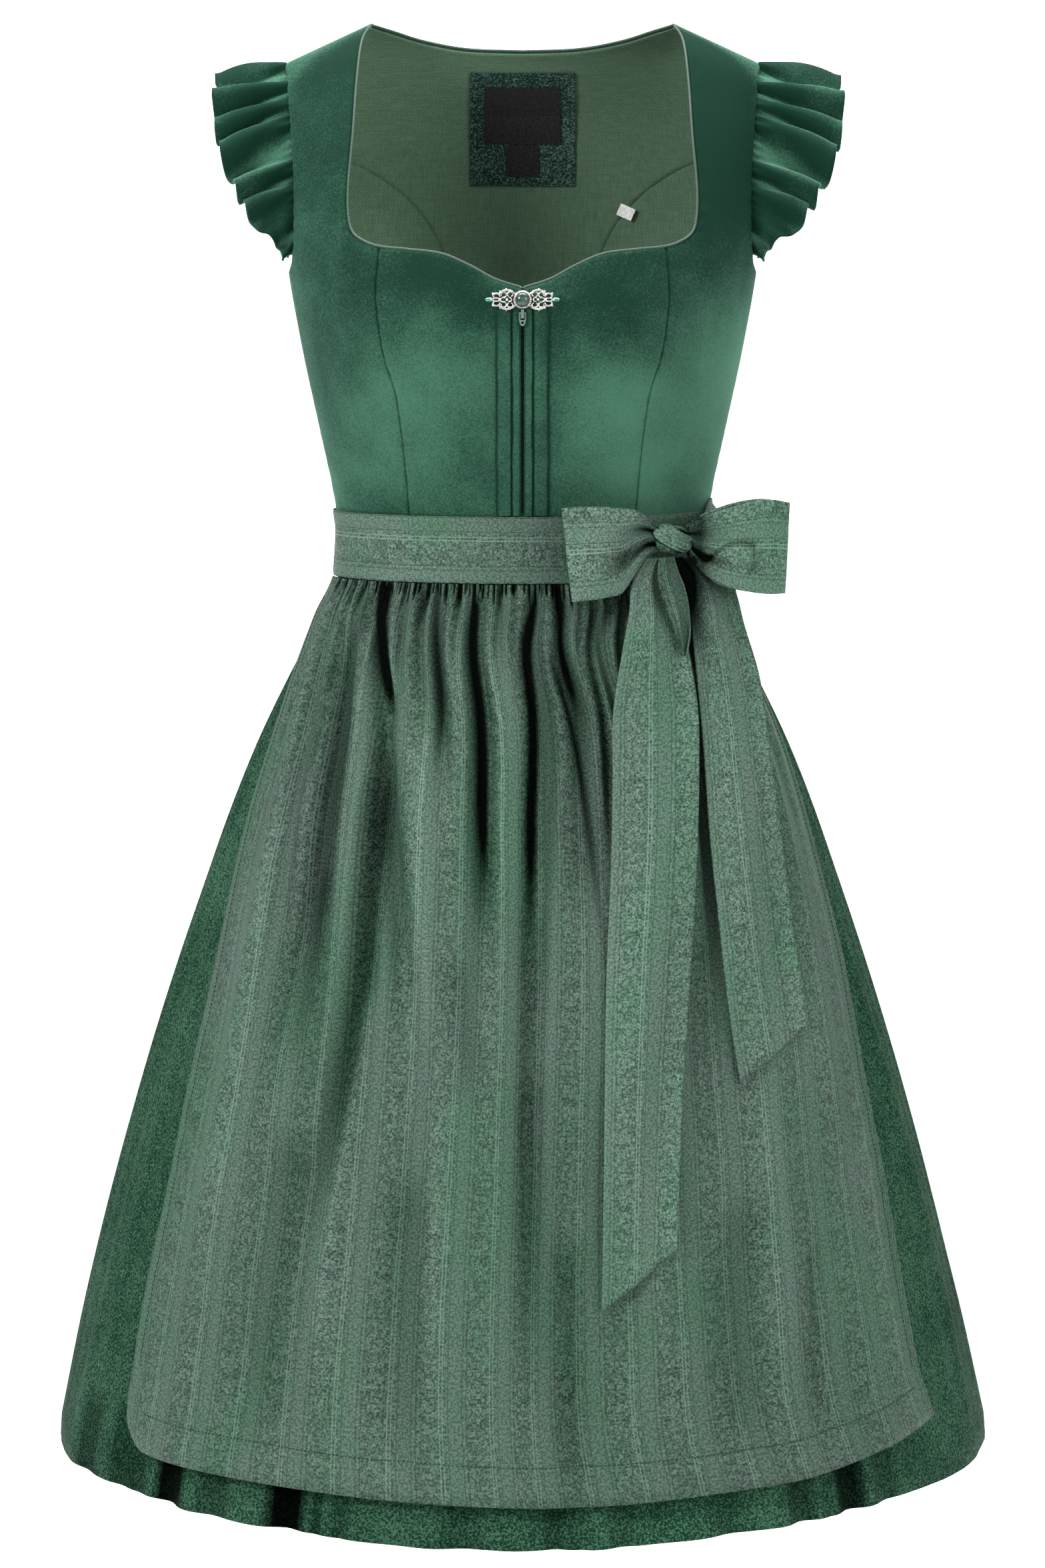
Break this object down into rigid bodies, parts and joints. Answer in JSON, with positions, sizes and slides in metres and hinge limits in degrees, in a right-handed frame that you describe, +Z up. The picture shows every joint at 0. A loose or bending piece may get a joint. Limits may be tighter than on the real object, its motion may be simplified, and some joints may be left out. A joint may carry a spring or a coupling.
{
  "type": "dirndl",
  "caption": "Knee-length dirndl with ruffle sleeves, fitted bodice with zip and brooch, folded skirt and a gathered apron tied in a bow.",
  "frame": {"origin": "midway between the two neck points on the shoulder line, where the dress hangs from the wearer's shoulders", "axes": "+Z up, -Y the wearer's front, +X the wearer's left"},
  "size_m": [0.6529, 0.554, 0.9779],
  "materials": {
    "velvet": "short green velvet pile with a soft sheen",
    "skirt_jacquard": "dark green jacquard with fine pale specks",
    "apron_jacquard": "green and grey-green striped satin jacquard",
    "lining_cotton": "matt green woven cotton",
    "piping_satin": "green-grey satin cord",
    "label_weave": "black woven label, bare",
    "tag_weave": "white woven tag, bare",
    "silver": "antiqued silver-plated metal",
    "green_stone": "polished green glass stone",
    "zip_lacquer": "green lacquered zinc",
    "zip_tape": "dark green woven tape"
  },
  "bodies": {
    "dress": {"apron": "apron_jacquard", "apron_band": "apron_jacquard", "back_centre": "velvet", "back_side_left": "velvet", "back_side_right": "velvet", "bow_knot": "apron_jacquard", "bow_loop_left": "apron_jacquard", "bow_loop_right": "apron_jacquard", "bow_tail_fold": "apron_jacquard", "bow_tail_long": "apron_jacquard", "bow_tail_short": "apron_jacquard", "brooch_frame": "silver", "brooch_gem_left": "green_stone", "brooch_gem_right": "green_stone", "brooch_stone": "green_stone", "front_left": "velvet", "front_right": "velvet", "label_main": "label_weave", "label_patch": "skirt_jacquard", "label_small": "label_weave", "lining_centre": "lining_cotton", "lining_side_left": "lining_cotton", "lining_side_right": "lining_cotton", "piping_back": "piping_satin", "piping_front_left": "piping_satin", "piping_front_right": "piping_satin", "side_front_left": "velvet", "side_front_right": "velvet", "size_tag": "tag_weave", "skirt_back": "skirt_jacquard", "skirt_front": "skirt_jacquard", "skirt_left": "skirt_jacquard", "skirt_right": "skirt_jacquard", "sleeve_left": "velvet", "sleeve_right": "velvet", "tie_back": "apron_jacquard", "tie_front": "apron_jacquard", "tuck_inner_left": "velvet", "tuck_inner_right": "velvet", "tuck_outer_left": "velvet", "tuck_outer_right": "velvet", "zip_slider": "zip_lacquer", "zip_tape": "zip_tape"},
    "pull": {"zip_pull": "zip_lacquer"}
  },
  "joints": [
    {"name": "pull_swing", "type": "hinge", "parent": "dress", "child": "pull", "pos_m": [0, -0.1257, -0.1925], "axis": [-1, 0, 0], "range_deg": [0, 85]}
  ]
}
